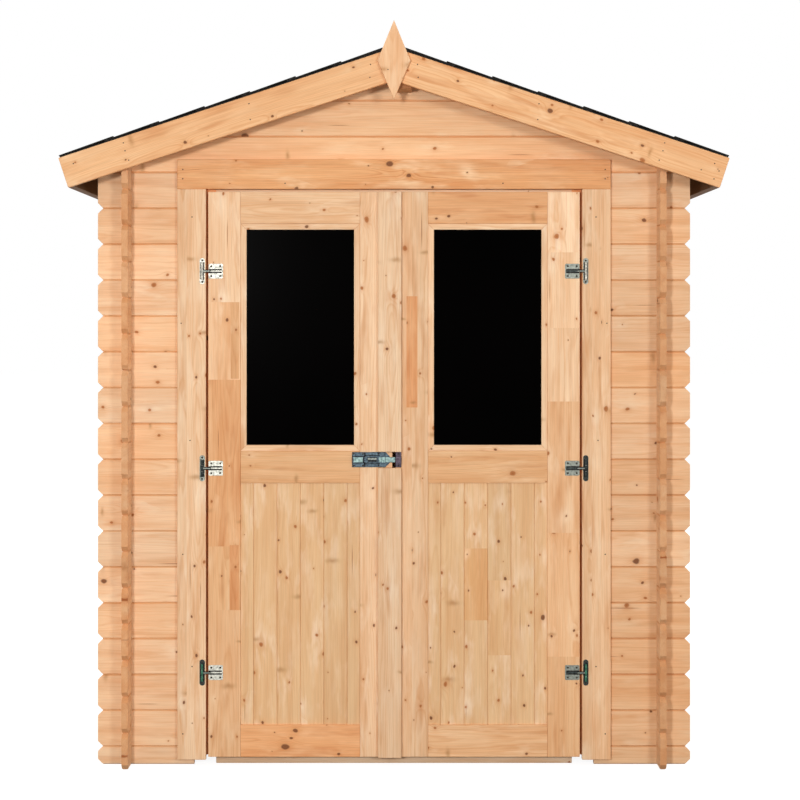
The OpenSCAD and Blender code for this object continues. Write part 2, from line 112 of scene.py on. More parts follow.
def spruce(name, early, late, knot_share=0.5, knot_size=8.5, pin_share=0.5, contrast=0.6, streak=1.0, figure=0.35,
           spike_share=0.2, marks=()):
    """Planed spruce: pale straw-coloured wood with fine rings that run along each board, soft orange late wood,
    small brown knots with dark rims that the rings flow around, and a dull, slightly silky face. The grain
    attribute gives the place along, across and through the board in metres from its pith; the look attribute
    gives the board's brightness, its warmth, and 1 on sawn ends. Marks are knots with a set place and radius."""
    material, tree = new_finish(name)
    place = add(tree, "Attribute", attribute_name="grain").outputs["Vector"]
    bright, heat, sawn = add(tree, "SeparateColor", {0: add(tree, "Attribute", attribute_name="look")}).outputs

    def along_grain(scale, detail, roughness=0.5):
        """Noise that is long along the board; its scale is per metre along, across and through."""
        moved = add(tree, "VectorMath", {0: place, 1: scale}, operation="MULTIPLY")
        return add(tree, "TexNoise", {"Vector": moved, "Scale": 1.0, "Detail": detail, "Roughness": roughness})

    def wandering(scale, detail, reach):
        """A soft shift of place, up to half its reach in metres each way."""
        middled = add(tree, "VectorMath", {0: along_grain(scale, detail).outputs["Color"], 1: (0.5, 0.5, 0.5)},
                      operation="SUBTRACT")
        return add(tree, "VectorMath", {0: middled, 1: reach}, operation="MULTIPLY")

    def distance(a, b, stretch):
        """How far two places are from each other, once stretched along and across."""
        gap = add(tree, "VectorMath", {0: a, 1: b}, operation="SUBTRACT")
        gap = add(tree, "VectorMath", {0: gap, 1: (*stretch, 0.0)}, operation="MULTIPLY")
        return add(tree, "VectorMath", {0: gap}, operation="LENGTH")

    def fading(away, rate, top):
        """What fades from a top value as it gets further away."""
        power = add(tree, "Math", {0: away, 1: -rate}, operation="MULTIPLY")
        power = add(tree, "Math", {0: power}, operation="EXPONENT")
        return add(tree, "Math", {0: power, 1: top}, operation="MULTIPLY")

    def knot_field(where, cell, share, least, most, shape=(0.8, 1.0)):
        """Scattered knots: how far a point is from the nearest one in knot radii, its radius, and its kind."""
        spot = add(tree, "VectorMath", {0: where, 1: (*cell, 0.0)}, operation="MULTIPLY")
        field = add(tree, "TexVoronoi", {"Vector": spot, "Scale": 1.0, "Randomness": 0.95},
                    voronoi_dimensions="2D", feature="F1")
        away = distance(spot, field.outputs["Position"], (shape[0] / cell[0], shape[1] / cell[1]))
        chance, own_kind, _ = add(tree, "SeparateColor", {0: field.outputs["Color"]}).outputs
        size = add(tree, "MapRange", {
            "Value": chance, "From Min": 1 - share, "From Max": 1.0, "To Min": least, "To Max": most})
        there = add(tree, "Math", {0: chance, 1: 1 - share}, operation="GREATER_THAN")
        size = add(tree, "Math", {0: there, 1: size, 2: 0.05 * mm}, operation="MULTIPLY_ADD")
        return add(tree, "Math", {0: away, 1: size}, operation="DIVIDE"), size, own_kind

    # Branch knots about 300 mm apart and pin knots about 130 mm apart, with outlines that aren't quite round
    uneven = add(tree, "VectorMath", {0: place, 1: wandering((55.0, 80.0, 80.0), 0.0, (0.006, 0.004, 0.0))},
                 operation="ADD")
    q, size, kind = knot_field(uneven, (3.1, 9.0), knot_share, 3 * mm, knot_size * mm)
    fields = [knot_field(uneven, (7.0, 15.0), pin_share, 1.0 * mm, 4.2 * mm)]
    # Spike knots lie across the board where a branch was sawn along its length
    smear = knot_field(uneven, (4.3, 8.5), spike_share, 3.5 * mm, 7.5 * mm, (1.0, 0.42))[0]
    # Resin streaks: thin dark slits along the grain
    slit = knot_field(place, (2.0, 9.0), 0.3, 0.6 * mm, 1.3 * mm, (0.025, 1.0))[0]
    for along, across, radius in marks:
        away = distance(uneven, (along, across, 0.0), (0.7, 1.0))
        fields.append((add(tree, "Math", {0: away, 1: radius}, operation="DIVIDE"), radius, 0.9))
    for own, radius, own_kind in fields:
        nearer = add(tree, "Math", {0: own, 1: q}, operation="LESS_THAN")
        size = add(tree, "Mix", {0: nearer, 2: size, 3: radius})
        kind = add(tree, "Mix", {0: nearer, 2: kind, 3: own_kind})
        q = add(tree, "Math", {0: own, 1: q}, operation="MINIMUM")

    # Rings 3.6 mm apart around a pith that wanders, so flat boards show long arches; knots push them aside
    bent = add(tree, "VectorMath", {0: place, 1: wandering((1.25, 5.0, 5.0), 1.5, (0.0, 0.03, 0.045))},
               operation="ADD")
    bent = add(tree, "VectorMath", {0: bent, 1: wandering((16.0, 90.0, 90.0), 1.0, (0.0, 0.0025, 0.0025))},
               operation="ADD")
    bent = add(tree, "VectorMath", {0: bent, 1: (0.0, 1.0, 1.0)}, operation="MULTIPLY")
    radius = add(tree, "VectorMath", {0: bent}, operation="LENGTH")
    swell = fading(q, 0.42, size)
    radius = add(tree, "Math", {0: swell, 1: 2.6, 2: radius}, operation="MULTIPLY_ADD")
    count = add(tree, "Math", {0: radius, 1: 3.6 * mm}, operation="DIVIDE")
    ring = add(tree, "Math", {0: count}, operation="FLOOR")
    strength = add(tree, "TexWhiteNoise", {"W": ring}, noise_dimensions="1D").outputs["Value"]
    strength = add(tree, "Math", {0: strength, 1: 0.85, 2: 0.15}, operation="MULTIPLY_ADD")
    late_wood = add(tree, "ValToRGB", {0: add(tree, "Math", {0: count}, operation="FRACT")},
                    [(0, "#000000"), (0.4, "#404040"), (0.82, "#ffffff"), (1, "#000000")])
    late_wood = add(tree, "Math", {0: late_wood, 1: strength}, operation="MULTIPLY")

    fibre = along_grain((9.0, 380.0, 380.0), 3.0, 0.65)
    cloud = add(tree, "MapRange", {
        "Value": along_grain((1.9, 27.0, 27.0), 3.0, 0.6), "From Min": 0.38, "From Max": 0.68, "To Max": 0.5})
    # Pale patches, strongest where the grain dips round a knot: partly paler wood, partly a painted silky sheen
    near = add(tree, "Math", {0: fading(q, 0.14, 2.2), 1: 0.4}, operation="ADD")
    pale = add(tree, "MapRange", {
        "Value": along_grain((7.0, 26.0, 20.0), 3.0, 0.6), "From Min": 0.48, "From Max": 0.68, "To Max": 0.62})
    # Warm brown figure in long soft streaks
    heart = add(tree, "MapRange", {
        "Value": along_grain((5.0, 34.0, 34.0), 2.0, 0.55), "From Min": 0.56, "From Max": 0.74, "To Max": figure})
    dark = add(tree, "MapRange", {
        "Value": fibre, "From Min": 0.36, "From Max": 0.68,
        "To Min": 1 + 0.04 * streak, "To Max": 1 - 0.1 * streak})
    slit = add(tree, "MapRange", {
        "Value": slit, "From Min": 0.5, "From Max": 1.2, "To Min": 0.85, "To Max": 0.0})
    # Live knots are orange brown and soft at the edge; dead ones are dark with a darker rim
    depth = add(tree, "Math", {0: q, 1: 0.5}, operation="MULTIPLY")
    live = add(tree, "ValToRGB", {0: depth}, [(0, "#9a5a2c"), (0.3, "#b56f38"), (0.5, "#a8642f")])
    dead = add(tree, "ValToRGB", {0: depth}, [(0, "#6b4023"), (0.25, "#7d4a27"), (0.4, "#5d3419"), (0.5, "#3c2010")])
    knot = add(tree, "Mix", {
        "Factor": add(tree, "Math", {0: kind, 1: 0.62}, operation="GREATER_THAN"), 6: live, 7: dead},
        data_type="RGBA")
    inside = add(tree, "MapRange", {
        "Value": q, "From Min": 0.75, "From Max": 1.25, "To Min": 0.92, "To Max": 0.0})

    colour = linear(early)
    for share, tint, blend in (
            (cloud, linear(late), "MIX"),
            (add(tree, "Math", {0: late_wood, 1: contrast}, operation="MULTIPLY"), linear(late), "MIX"),
            (add(tree, "Math", {0: pale, 1: near}, operation="MULTIPLY", use_clamp=True), linear("#fde6c9"), "MIX"),
            (heart, linear("#cf8f58"), "MIX"),
            (1.0, add(tree, "CombineColor", {0: dark, 1: dark, 2: dark}), "MULTIPLY"),
            (heat, linear("#fbe6ce"), "MULTIPLY"),
            # A warmth past 1 is red heartwood
            (add(tree, "Math", {0: heat, 1: 1.0}, operation="SUBTRACT", use_clamp=True), linear("#f6cfae"),
             "MULTIPLY"),
            (slit, linear("#9c5a30"), "MIX"),
            (fading(add(tree, "Math", {0: smear, 1: 2.0}, operation="POWER"), 0.9, 0.6), linear("#ad763d"), "MIX"),
            (fading(q, 0.75, 0.85), linear("#c97c3c"), "MIX"),
            (inside, knot, "MIX"),
            # Sawn ends drink light
            (sawn, linear("#ead5c1"), "MULTIPLY"),
            (1.0, add(tree, "CombineColor", {0: bright, 1: bright, 2: bright}), "MULTIPLY")):
        colour = add(tree, "Mix", {"Factor": share, 6: colour, 7: tint}, data_type="RGBA", blend_type=blend)
    relief = add(tree, "Math", {0: fibre, 1: 0.6}, operation="MULTIPLY")
    relief = add(tree, "Math", {0: late_wood, 1: 0.4, 2: relief}, operation="MULTIPLY_ADD")
    close_finish(tree, {
        "Base Color": colour,
        "Roughness": add(tree, "Math", {0: fibre, 1: 0.16, 2: 0.56}, operation="MULTIPLY_ADD"),
        "Normal": add(tree, "Bump", {"Strength": 0.3, "Distance": 0.6 * mm, "Height": relief}),
        "Specular IOR Level": 0.3})
    return material


def bitumen_shingle():
    """Bitumen shingle: black asphalt under slate grit, dead dull, with pale grains and grey drifts. The grit is
    about 2.4 mm wide, coarser than real grit, so that it shows."""
    material, tree = new_finish("Black mineral bitumen shingle")
    place = add(tree, "TexCoord").outputs["Object"]
    grit = add(tree, "TexVoronoi", {"Vector": place, "Scale": 420.0}, feature="F1").outputs
    base = add(tree, "ValToRGB", {0: add(tree, "SeparateColor", {0: grit["Color"]})},
               [(0, "#100f0e"), (0.55, "#1c1b1a"), (0.85, "#2c2b2a"), (1, "#585654")])
    drift = add(tree, "TexNoise", {"Vector": place, "Scale": 9.0, "Detail": 3.0})
    plate_finish = add(tree, "Mix", {"Factor": drift, 6: base, 7: linear("#242322")}, data_type="RGBA")
    bright = add(tree, "SeparateColor", {0: add(tree, "Attribute", attribute_name="look")})
    bright = add(tree, "CombineColor", {0: bright, 1: bright, 2: bright})
    close_finish(tree, {
        "Base Color": add(tree, "Mix", {"Factor": 1.0, 6: plate_finish, 7: bright}, data_type="RGBA", blend_type="MULTIPLY"),
        "Normal": add(tree, "Bump", {"Strength": 0.6, "Distance": 1.2 * mm, "Height": grit["Distance"]}),
        "Roughness": 0.95,
        "Specular IOR Level": 0.2})
    return material


def zinc_plate(name, pale, dark, rough):
    """Zinc plate on pressed steel: a cold metal sheen, tinted by its passivation, with a faint cloudy bloom a few
    millimetres wide."""
    material, tree = new_finish(name)
    place = add(tree, "TexCoord").outputs["Object"]
    bloom = add(tree, "TexNoise", {"Vector": place, "Scale": 160.0, "Detail": 4.0})
    tone = add(tree, "MapRange", {"Value": bloom, "From Min": 0.35, "From Max": 0.65})
    close_finish(tree, {
        "Base Color": add(tree, "Mix", {"Factor": tone, 6: linear(pale), 7: linear(dark)}, data_type="RGBA"),
        "Metallic": 1.0,
        "Roughness": add(tree, "MapRange", {
            "Value": bloom, "From Min": 0.3, "From Max": 0.7, "To Min": rough - 0.06, "To Max": rough + 0.1})})
    return material


def dark_pane():
    """Acrylic sheet over the unlit inside, painted nearly black: partly its own tint, partly painted shade of the
    inside; smooth, with almost no reflection.
    """
    material, tree = new_finish("Tinted window sheet")
    haze = add(tree, "TexNoise", {"Vector": add(tree, "TexCoord").outputs["Object"], "Scale": 3.0, "Detail": 2.0})
    close_finish(tree, {
        "Base Color": add(tree, "Mix", {"Factor": haze, 6: linear("#010101"), 7: linear("#040303")},
                          data_type="RGBA"),
        "Roughness": 0.22,
        "Specular IOR Level": 0.003})
    return material


wall_spruce = spruce("Planed spruce wall boards", "#fbdcb9", "#e3aa76", 0.36, 8.0, 0.3, 0.42, 0.6, 0.25)
door_spruce = spruce("Planed spruce door and trim boards", "#f9dab6", "#dda36d", 0.4, 7.0, 0.6, 0.55, 0.8, 0.5, 0.45,
                     [(-15 * mm, -32 * mm, 5 * mm), (-27 * mm, -9 * mm, 3 * mm), (-45 * mm, 17 * mm, 8 * mm)])
panel_spruce = spruce("Planed spruce panel boards", "#efcda1", "#d7a16c", 0.45, 6.0, 0.8, 0.36, 0.7, 0.2, 0.35)
roof_spruce = spruce("Planed spruce roof boards", "#f0c89c", "#d0935c", 0.5)
header_spruce = spruce("Planed spruce header board", "#f3c99c", "#d28d54", 0.3, 5.0, 0.6, 0.8,
                       marks=[(-13 * mm, -31 * mm, 7 * mm), (44 * mm, 4 * mm, 5 * mm)])
shingle = bitumen_shingle()
zinc = zinc_plate("Bright zinc plated steel", "#b9b8ad", "#8e8e86", 0.5)
grey_zinc = zinc_plate("Grey zinc plated steel", "#7c7f77", "#5e625b", 0.46)
black_zinc = zinc_plate("Black passivated zinc plated steel", "#393f3e", "#242929", 0.46)
green_zinc = zinc_plate("Green passivated zinc plated steel", "#3f6d59", "#2a4d3e", 0.46)
blue_zinc = zinc_plate("Blue passivated zinc plated steel", "#4a585f", "#333c44", 0.46)
pale_zinc = zinc_plate("Pale green passivated zinc plated steel", "#7d928e", "#586b69", 0.46)
plum_zinc = zinc_plate("Violet passivated zinc plated steel", "#4c434b", "#372f36", 0.46)
# Screw and nail heads: dark passivated steel, partly painted shade on the heads
screw_zinc_and_shade = zinc_plate("Passivated steel screws and nails", "#47423c", "#2c2925", 0.5)
# Painted shade for recesses, folds and grooves in the fittings
recess_shade_steel = zinc_plate("Unlit recess of pressed steel", "#2b2b2b", "#161616", 0.6)
pane_sheet = dark_pane()


def new_piece():
    """An empty mesh with the layers that the wood and the shingles read."""
    bm = bmesh.new()
    bm.loops.layers.float_vector.new("grain")
    bm.loops.layers.float_color.new("look")
    return bm


def mark(bm, faces, along, through, seed, tone=1.0, warm=None, pith=None):
    """Writes each corner's place in its board, and the board's look."""
    dice = random.Random(seed)
    grain = bm.loops.layers.float_vector["grain"]
    look = bm.loops.layers.float_color["look"]
    across = through.cross(along)
    spots = [v.co for f in faces for v in f.verts]
    middle = sum(spots, Vector()) / len(spots)
    # Each board is sawn somewhere else along the log, 20 to 60 mm from its pith
    start = Vector((dice.uniform(0, 30), dice.uniform(-0.05, 0.05), dice.choice((-1, 1)) * dice.uniform(0.02, 0.06)))
    if pith:
        start = Vector(pith)
    bright = tone * dice.uniform(0.95, 1.05)
    heat = dice.uniform(0, 1) if warm is None else warm
    for f in faces:
        end = 1.0 if abs(f.normal.dot(along)) > 0.6 else 0.0
        for loop in f.loops:
            gap = loop.vert.co - middle
            loop[grain] = Vector((gap.dot(along), gap.dot(across), gap.dot(through))) + start
            loop[look] = (bright, heat, end, 1.0)


def nth(looks, n):
    """The looks of one of several lengths, where a list gives each its own."""
    return {name: value[n] if isinstance(value, list) else value for name, value in looks.items()}


def block(bm, lo, hi):
    """A plain block between two corners; gives its own corner points."""
    place = Matrix.Translation((lo + hi) / 2) @ Matrix.Diagonal((*(hi - lo), 1))
    return bmesh.ops.create_cube(bm, size=1, matrix=place)["verts"]


def ease(bm, edges, width, segments=2):
    """Rounds edges, or cuts them flat with one segment."""
    bmesh.ops.bevel(bm, geom=edges, offset=width, segments=segments, affect="EDGES", profile=0.5, material=-1,
                    clamp_overlap=True)


def sharp_edges(bm, degrees):
    """The edges at which a mesh turns by more than an angle."""
    return [e for e in bm.edges if len(e.link_faces) == 2 and e.calc_face_angle(0) > math.radians(degrees)]


def saw_at(bm, point, normal, keep=True):
    """Cuts a mesh at a plane; it either keeps both sides, or drops the far one and closes the cut."""
    made = bmesh.ops.bisect_plane(bm, geom=bm.verts[:] + bm.edges[:] + bm.faces[:], dist=1e-6, plane_co=point,
                                  plane_no=normal, clear_outer=not keep)
    edges = [g for g in made["geom_cut"] if isinstance(g, bmesh.types.BMEdge)]
    if edges and not keep:
        bmesh.ops.holes_fill(bm, edges=edges, sides=0)


def board(piece, lo, hi, along=Z, through=Y, edge=1.2 * mm, seed=0, place=None, saw=(), splits=(), log=None,
          **looks):
    """One board between two corners, with eased edges. It is sawn off at planes and split into lengths at others.
    A log board has grooved edges, and log says which of its ends are bevelled."""
    lo, hi = Vector(lo), Vector(hi)
    size = hi - lo
    bm = new_piece()
    block(bm, lo, hi)
    if log:
        corners = [e for e in bm.edges if abs((e.verts[0].co - e.verts[1].co).y) > 0.9 * size.y
                   and (e.verts[0].co.x < lo.x + mm and log[0] or e.verts[0].co.x > hi.x - mm and log[1])]
        ease(bm, corners, end_cut, 1)
        ease(bm, [e for e in bm.edges if abs((e.verts[0].co - e.verts[1].co).x) > 0.5 * size.x], groove, 1)
    if place:
        bmesh.ops.transform(bm, matrix=place, verts=bm.verts)
        turn = place.to_3x3()
        along, through = turn @ along, turn @ through
    for point, normal in saw:
        saw_at(bm, point, normal, False)
    if edge:
        ease(bm, sharp_edges(bm, 50), edge)
    for point, normal in splits:
        saw_at(bm, point, normal)
    bmesh.ops.recalc_face_normals(bm, faces=bm.faces)
    lengths = {}
    for f in bm.faces:
        middle = f.calc_center_median()
        key = tuple((middle - Vector(point)).dot(Vector(normal)) > 0 for point, normal in splits)
        lengths.setdefault(key, []).append(f)
    for n, key in enumerate(sorted(lengths)):
        mark(bm, lengths[key], along.normalized(), through.normalized(), f"{seed} {n}", **nth(looks, n))
    if log:
        darken_grooves(bm, along, through)
    join(piece, bm)


def darken_grooves(bm, along, through):
    """The grooves where log boards meet are painted a darker brown than the planed faces: partly the sawn chamfer's
    own tone, partly painted shade in the groove.
    """
    look = bm.loops.layers.float_color["look"]
    for f in bm.faces:
        if 0.4 < abs(f.normal.dot(through)) < 0.9 and abs(f.normal.dot(along)) < 0.3:
            for loop in f.loops:
                bright, heat, end, full = loop[look]
                loop[look] = (bright * 0.9, heat + 0.5, end, full)


def join(piece, bm):
    """Adds a finished shape to a piece."""
    mesh = bpy.data.meshes.new("part")
    bm.to_mesh(mesh)
    bm.free()
    piece.from_mesh(mesh)
    bpy.data.meshes.remove(mesh)


def finish(name, bm, material, body="root", replaces=()):
    """Makes a piece of the shed that rides on a body and stands for its solids."""
    mesh = bpy.data.meshes.new(name)
    bm.to_mesh(mesh)
    bm.free()
    mesh.materials.append(material)
    made = bpy.data.objects.new(name, mesh)
    scene.collection.objects.link(made)
    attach(made, body)
    if replaces:
        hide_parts(*replaces)
    return made


# Walls: log boards lie on each other from the ground up, and cross at the corners
under_roof = [((0, 0, ridge_z - deck_drop - 0.2 * mm), (s * math.sin(slope), 0, math.cos(slope))) for s, _ in sides]


def log_wall(name, node, x0, x1, first, z0, z1, ends, place, saw=(), tone=1.0, warm=0.4):
    """A wall of log boards, the lowest of a given height; the higher ones are painted a little paler, as painted
    light that is brighter higher up.
    """
    bm = new_piece()
    joints = [z0] + [first + n * board_h for n in range(20) if z0 + mm < first + n * board_h < z1 - mm] + [z1]
    for n, (low, high) in enumerate(zip(joints, joints[1:])):
        own_warm = warm + random.Random(f"{name}{n}").uniform(-0.25, 0.25)
        board(bm, (x0, 0, low), (x1, wall_t, high), X, Y, 0 if saw else 0.8 * mm, f"{node} {n}", place, saw, log=ends,
              warm=min(1.0, max(0.0, own_warm)), tone=tone * (0.95 + 0.025 * low))
    finish(name, bm, wall_spruce, replaces=[node])


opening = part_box("front_wall_right")[0].x
front = Matrix.Translation((0, -face, 0))
rear = Matrix.Rotation(math.pi, 4, "Z") @ front
half_board = board_h / 2
log_wall("front_wall_left_boards", "front_wall_left", -half, -opening, half_board, 0, gable_z, (1, 0), front)
# The right front wall is painted darker and warmer: painted shade, as the light falls off to the right
log_wall("front_wall_right_boards", "front_wall_right", opening, half, half_board, 0, gable_z, (0, 1), front,
         tone=0.915, warm=0.65)
log_wall("rear_wall_boards", "rear_wall", -half, half, half_board, 0, gable_z, (1, 1), rear)
# The front gable is painted paler: painted light, against the shadow under the barge boards
log_wall("front_gable_boards", "front_gable", -half, half, half_board, gable_z, ridge_z, (1, 1), front, under_roof,
         1.04, 0.9)
log_wall("rear_gable_boards", "rear_gable", -half, half, half_board, gable_z, ridge_z, (1, 1), rear, under_roof)
side_half, side_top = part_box("side_wall_left")[1].yz
for s, side in sides:
    turned = Matrix.Rotation(s * math.pi / 2, 4, "Z") @ Matrix.Translation((0, -side_face, 0))
    # The right side wall is painted darker than the left: painted shade, on the side away from the light
    log_wall(f"side_wall_{side}_boards", f"side_wall_{side}", -side_half, side_half, board_h, 0, side_top, (1, 1),
             turned, under_roof, 0.96 - 0.04 * s)


# Roof: boards from ridge to eave under shingles
def down_slope(s):
    """Turns a slab that lies along +X from the ridge so that it follows one side of the roof."""
    turn = Matrix.Rotation(slope, 4, "Y")
    if s < 0:
        turn = Matrix.Rotation(math.pi, 4, "Z") @ turn
    return Matrix.Translation((0, 0, ridge_z)) @ turn


def roof_boards(s, side):
    """Boards side by side from the front to the rear, held apart by fine joints."""
    bm = new_piece()
    count = 19
    pitch, joint = 2 * roof_front / count, 0.2 * mm
    eave_clear = 18.2 * mm
    end = roof_half / math.cos(slope) - felt_t * fall - eave_clear
    saw = [((s * 0.2 * mm, 0, 0), (-s, 0, 0))]
    for n in range(count):
        y = -roof_front + n * pitch
        # The deck is painted dark brown all over: painted shade, for its underside in the shade of the roof
        board(bm, (-0.05, y + joint, -felt_t - deck_t), (end, y + pitch - joint, -felt_t), X, Z, 2 * mm,
              f"deck {side} {n}", down_slope(s), saw, tone=0.2, warm=1)
    finish(f"roof_boards_{side}_row", bm, roof_spruce, replaces=[f"roof_boards_{side}"])


def shingles(s, side):
    """Courses of tabs that lap like scales, thin at the top and thick at the lower edge, and folded caps."""
    bm = new_piece()
    length = roof_half / math.cos(slope)
    course, lap, thick, lift, gap = 143 * mm, 30 * mm, 3.4 * mm, 3.6 * mm, 2.5 * mm
    place = down_slope(s)
    # The bed that the tabs are nailed to
    board(bm, (0, -felt_front, -felt_t), (length - 2.6 * mm, felt_front, -5 * mm), Y, Z, 0, f"felt {side}", place,
          warm=0)
    tab = 2 * felt_front / 6
    row, low = 0, length
    while low > 60 * mm:
        high = max(low - course - lap, 4 * mm)
        tilt = Matrix.Translation((low, 0, lift - felt_t)) @ Matrix.Rotation(math.atan(lift / course), 4, "Y")
        # Every other course is shifted by half a tab
        edges = [-felt_front, felt_front] + [-felt_front + tab * (n + 0.5 * (row % 2)) for n in range(7)]
        edges = sorted({round(e, 5) for e in edges if abs(e) <= felt_front + 1e-6})
        for n, (a, b) in enumerate(zip(edges, edges[1:])):
            dice = random.Random(f"{side}{row}{n}")
            a += gap if a > mm - felt_front else 0
            b -= gap if b < felt_front - mm else 0
            board(bm, (high - low, a, 0), (-dice.uniform(0.2, 1.8) * mm, b, thick), Y, Z, 0.8 * mm,
                  f"tab {side} {row} {n}", place @ tilt, [((s * 0.1 * mm, 0, 0), (-s, 0, 0))],
                  tone=dice.uniform(0.75, 1.1))
        row += 1
        low -= course
    count = 13
    step = 2 * felt_front / count
    for n in range(count):
        a = -felt_front + n * step
        dice = random.Random(f"cap {n}")
        tilt = Matrix.Translation((0, a, -thick)) @ Matrix.Rotation(-math.atan(0.8 * mm / step), 4, "X")
        board(bm, (-0.03, 0, 0), (0.118 + dice.uniform(-1, 1) * mm, min(step + 20 * mm, felt_front - a), thick), Y, Z,
              0.8 * mm, f"cap {side} {n}", place @ tilt,
              [((s * 0.05 * mm, 0, 0), (-s, 0, 0)), ((0, felt_front, 0), (0, 1, 0))], tone=dice.uniform(0.8, 1.1))
    finish(f"shingles_{side}", bm, shingle, replaces=[f"felt_{side}"])


def true_outline(bm, node, edge):
    """Fills a mesh with a node's solid, whose outline is already the real one, and eases its edges."""
    bm.from_mesh(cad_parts[node].data)
    bmesh.ops.remove_doubles(bm, verts=bm.verts, dist=1e-6)
    bmesh.ops.dissolve_limit(bm, angle_limit=math.radians(1), verts=bm.verts, edges=bm.edges)
    ease(bm, sharp_edges(bm, 30), edge)
    return bm


def wood_from(name, node, along, through, material, body="root", slot="wall_spruce", edge=1.5 * mm, painted_shade_way=None,
              **looks):
    """Boards made from a node's solids, with grain. along may be a function of a board's middle. A way given for
    shade picks the faces that look that way under the roof; they and the faces that look down get painted shade."""
    bm = true_outline(new_piece(), node, edge)
    for n, faces in enumerate(loose_parts(bm)):
        middle = sum((f.calc_center_median() for f in faces), Vector()) / len(faces)
        way = along(middle) if callable(along) else along
        mark(bm, faces, way.normalized(), through, f"{node} {n}", **nth(looks, n))
    # Faces that look under the eaves are painted dark brown: painted shade, out of the light
    look = bm.loops.layers.float_color["look"]
    for f in bm.faces if painted_shade_way else ():
        if f.normal.dot(painted_shade_way) > 0.5 or f.normal.z < -0.5:
            for loop in f.loops:
                loop[look] = (0.16, 1.0, 0.0, 1.0)
    finish(name, bm, material, body, [node])


def loose_parts(bm):
    """The faces of each separate solid of a mesh."""
    left = set(bm.faces)
    while left:
        seed = min(left, key=lambda f: f.index)
        group, reach = {seed}, [seed]
        while reach:
            for e in reach.pop().edges:
                for f in e.link_faces:
                    if f not in group:
                        group.add(f)
                        reach.append(f)
        left -= group
        yield sorted(group, key=lambda f: f.index)


for s, side in sides:
    roof_boards(s, side)
    shingles(s, side)
    # The eave boards' inner and lower faces get painted shade
    wood_from(f"eave_board_{side}_plank", f"eave_board_{side}", Y, X, wall_spruce, painted_shade_way=Vector((-s, 0, 0)))


def barge_way(middle):
    """A barge board's grain follows its slope."""
    return Vector((1, 0, -fall)) if middle.x > 0 else Vector((1, 0, fall))


for end in ("front", "rear"):
    wood_from(f"barge_planks_{end}", f"barge_boards_{end}", barge_way, Y, door_spruce, edge=2 * mm, warm=1.0,
              tone=[0.99, 1.05])
    wood_from(f"finial_{end}_diamond", f"finial_{end}", Z, Y, wall_spruce, edge=2 * mm, warm=0.6, tone=0.97)
# The purlin is painted a darker brown: painted shade, for its end in the shade under the barge boards
wood_from("ridge_purlin_beam", "ridge_purlin", Y, X, roof_spruce, edge=2 * mm, tone=0.6, warm=1)
wood_from("door_sill_beam", "door_sill", X, Y, wall_spruce, slot="door_spruce", tone=0.74, warm=0)
wood_from("door_head_beam", "door_head", X, Y, wall_spruce, slot="door_spruce", tone=0.95)
# The posts are painted red and a little paler: painted light, for the warm light bounced round the gaps beside the
# doors
for _, side in sides:
    wood_from(f"door_post_{side}_beam", f"door_post_{side}", Z, Y, wall_spruce, slot="door_spruce", tone=1.05,
              warm=1.8)

# Trim boards around the doors, the upright ones glued up from strips
bm = new_piece()
board(bm, *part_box("header_trim"), X, Y, 2 * mm, "header", pith=(0, 0, 0.03), warm=0.9, tone=0.985)
finish("header_trim_board", bm, header_spruce, replaces=["header_trim"])
for s, side in sides:
    lo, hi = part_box(f"jamb_trim_{side}")
    third = (hi.x - lo.x) / 3
    splits = [((lo.x + n * third, 0, 0), (1, 0, 0)) for n in ((1,) if s < 0 else (1, 2))]
    bm = new_piece()
    # The right trim is painted a little darker: painted shade, on the side away from the light
    board(bm, lo, hi, Z, Y, 2 * mm, f"jamb {side}", splits=splits, warm=0.35 + 0.1 * s, tone=0.955 - 0.015 * s)
    finish(f"jamb_trim_{side}_board", bm, door_spruce, replaces=[f"jamb_trim_{side}"])

door_face, door_back = trim_y, trim_y + 28 * mm
door_lo, door_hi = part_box("right_door_stiles")
light_lo, light_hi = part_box("right_door_pane")
panel_lo, panel_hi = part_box("right_door_panel")
stile, panel_board = 98 * mm, 71 * mm
rails = ((door_lo.z, door_lo.z + 97 * mm), (856 * mm, light_lo.z), (light_hi.z, door_hi.z))
bead, bead_t = 18 * mm, 9 * mm


def mirrored(s, lo, hi):
    """A door's box, given for the right leaf, on either leaf."""
    if s > 0:
        return lo, hi
    return (-hi[0], lo[1], lo[2]), (-lo[0], hi[1], hi[2])


def heights(joints):
    """Level planes at heights in millimetres, for boards that are jointed end to end."""
    return [((0, 0, z * mm), (0, 0, 1)) for z in joints]


